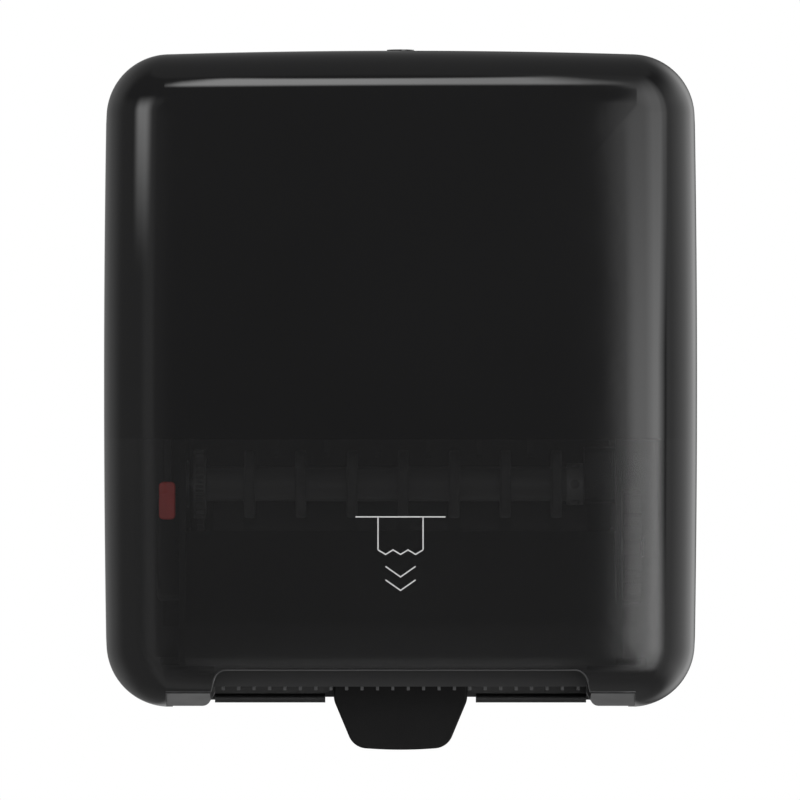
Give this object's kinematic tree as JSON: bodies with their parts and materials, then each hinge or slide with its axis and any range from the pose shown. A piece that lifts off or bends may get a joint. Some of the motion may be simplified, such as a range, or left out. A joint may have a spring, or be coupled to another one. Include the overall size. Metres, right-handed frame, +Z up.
{
  "type": "paper towel dispenser",
  "caption": "Wall-hung hand towel roll dispenser with a gloss black cover, smoke lower front, pull-fed drum with knife, ribbed pinch roller, thumb lever and sprung roll arms.",
  "frame": {"origin": "middle of the four wall-screw holes, on the wall plane", "axes": "+X to the right seen from the room, +Y into the wall, +Z up"},
  "size_m": [0.337, 0.203, 0.3928],
  "materials": {
    "cover_black": "high gloss, opaque",
    "cover_smoke": "high gloss, smoke tint, see-through",
    "foot_black": "satin",
    "chassis_black": "fine matte",
    "guard_black": "fine matte",
    "drum_grey": "satin",
    "roller_grey": "satin",
    "gear_grey": "satin acetal",
    "hub_grey": "satin",
    "grip_rubber": "matte",
    "lever_red": "satin",
    "steel": "bright zinc",
    "blade_steel": "ground",
    "lock_black": "gloss black"
  },
  "bodies": {
    "chassis": {"back_panel": "chassis_black", "left_side_frame": "chassis_black", "right_side_frame": "chassis_black", "frame_screws": "steel", "left_hinge_bracket": "chassis_black", "right_hinge_bracket": "chassis_black", "hinge_pins": "steel", "drum_bushes": "gear_grey", "roller_bush": "gear_grey", "roller_block": "roller_grey", "transfer_bushes": "gear_grey", "chute_front": "chassis_black", "guide_comb": "chassis_black", "chute_rear": "chassis_black", "hand_guard": "guard_black", "spring_case": "chassis_black", "arm_pins": "steel", "lock_keeper": "chassis_black"},
    "cover": {"upper_cover": "cover_black", "lower_cover": "cover_smoke", "left_hinge_foot": "foot_black", "right_hinge_foot": "foot_black"},
    "lock": {"lock_cylinder": "lock_black", "lock_cam": "steel"},
    "drum": {"drum_front_half": "drum_grey", "drum_rear_half": "drum_grey", "drum_grips": "grip_rubber", "left_drum_end": "drum_grey", "right_drum_end": "drum_grey", "drum_axle": "steel", "drum_gear": "gear_grey", "hand_wheel": "hub_grey"},
    "knife": {"knife_carrier": "drum_grey", "knife_blade": "blade_steel"},
    "roller": {"pinch_shaft": "roller_grey", "pinch_tyres": "grip_rubber", "pinch_pinion": "gear_grey", "pinch_sleeve": "roller_grey"},
    "transfer": {"transfer_bar": "chassis_black", "lever_tab": "lever_red"},
    "left_arm": {"left_roll_arm": "chassis_black"},
    "right_arm": {"right_roll_arm": "chassis_black"},
    "left_hub": {"left_roll_hub": "hub_grey"},
    "right_hub": {"right_roll_hub": "hub_grey"}
  },
  "joints": [
    {"name": "cover_open", "type": "hinge", "parent": "chassis", "child": "cover", "pos_m": [0, -0.022, -0.17], "axis": [1, 0, 0], "range_deg": [0, 88]},
    {"name": "lock_turn", "type": "hinge", "parent": "cover", "child": "lock", "pos_m": [0, -0.033, 0.18], "axis": [0, 0, 1], "range_deg": [0, 90]},
    {"name": "drum_spin", "type": "hinge", "parent": "chassis", "child": "drum", "pos_m": [0, -0.085, -0.094], "axis": [1, 0, 0], "continuous": true},
    {"name": "knife_slide", "type": "slide", "parent": "drum", "child": "knife", "axis": [0, 0.7071, -0.7071], "range_m": [0, 0.007], "stiffness_N_per_m": 120, "springref_m": -0.006},
    {"name": "roller_spin", "type": "hinge", "parent": "chassis", "child": "roller", "pos_m": [0, -0.13129, -0.05823], "axis": [1, 0, 0], "continuous": true},
    {"name": "transfer_swing", "type": "hinge", "parent": "chassis", "child": "transfer", "pos_m": [0, -0.118, -0.022], "axis": [1, 0, 0], "range_deg": [0, 15], "stiffness_Nm_per_rad": 0.08, "springref_deg": -20.05},
    {"name": "left_arm_swing", "type": "hinge", "parent": "chassis", "child": "left_arm", "pos_m": [-0.118, -0.014, 0.084], "axis": [0, 0, -1], "range_deg": [0, 12], "stiffness_Nm_per_rad": 1.2, "springref_deg": -5.73},
    {"name": "right_arm_swing", "type": "hinge", "parent": "chassis", "child": "right_arm", "pos_m": [0.118, -0.014, 0.084], "axis": [0, 0, 1], "range_deg": [0, 12], "stiffness_Nm_per_rad": 1.2, "springref_deg": -5.73},
    {"name": "left_hub_spin", "type": "hinge", "parent": "left_arm", "child": "left_hub", "pos_m": [-0.118, -0.1, 0.084], "axis": [1, 0, 0], "continuous": true},
    {"name": "right_hub_spin", "type": "hinge", "parent": "right_arm", "child": "right_hub", "pos_m": [0.118, -0.1, 0.084], "axis": [1, 0, 0], "continuous": true}
  ],
  "couplings": [
    {"joint": "roller_spin", "follows": "drum_spin", "ratio": -2.25}
  ]
}
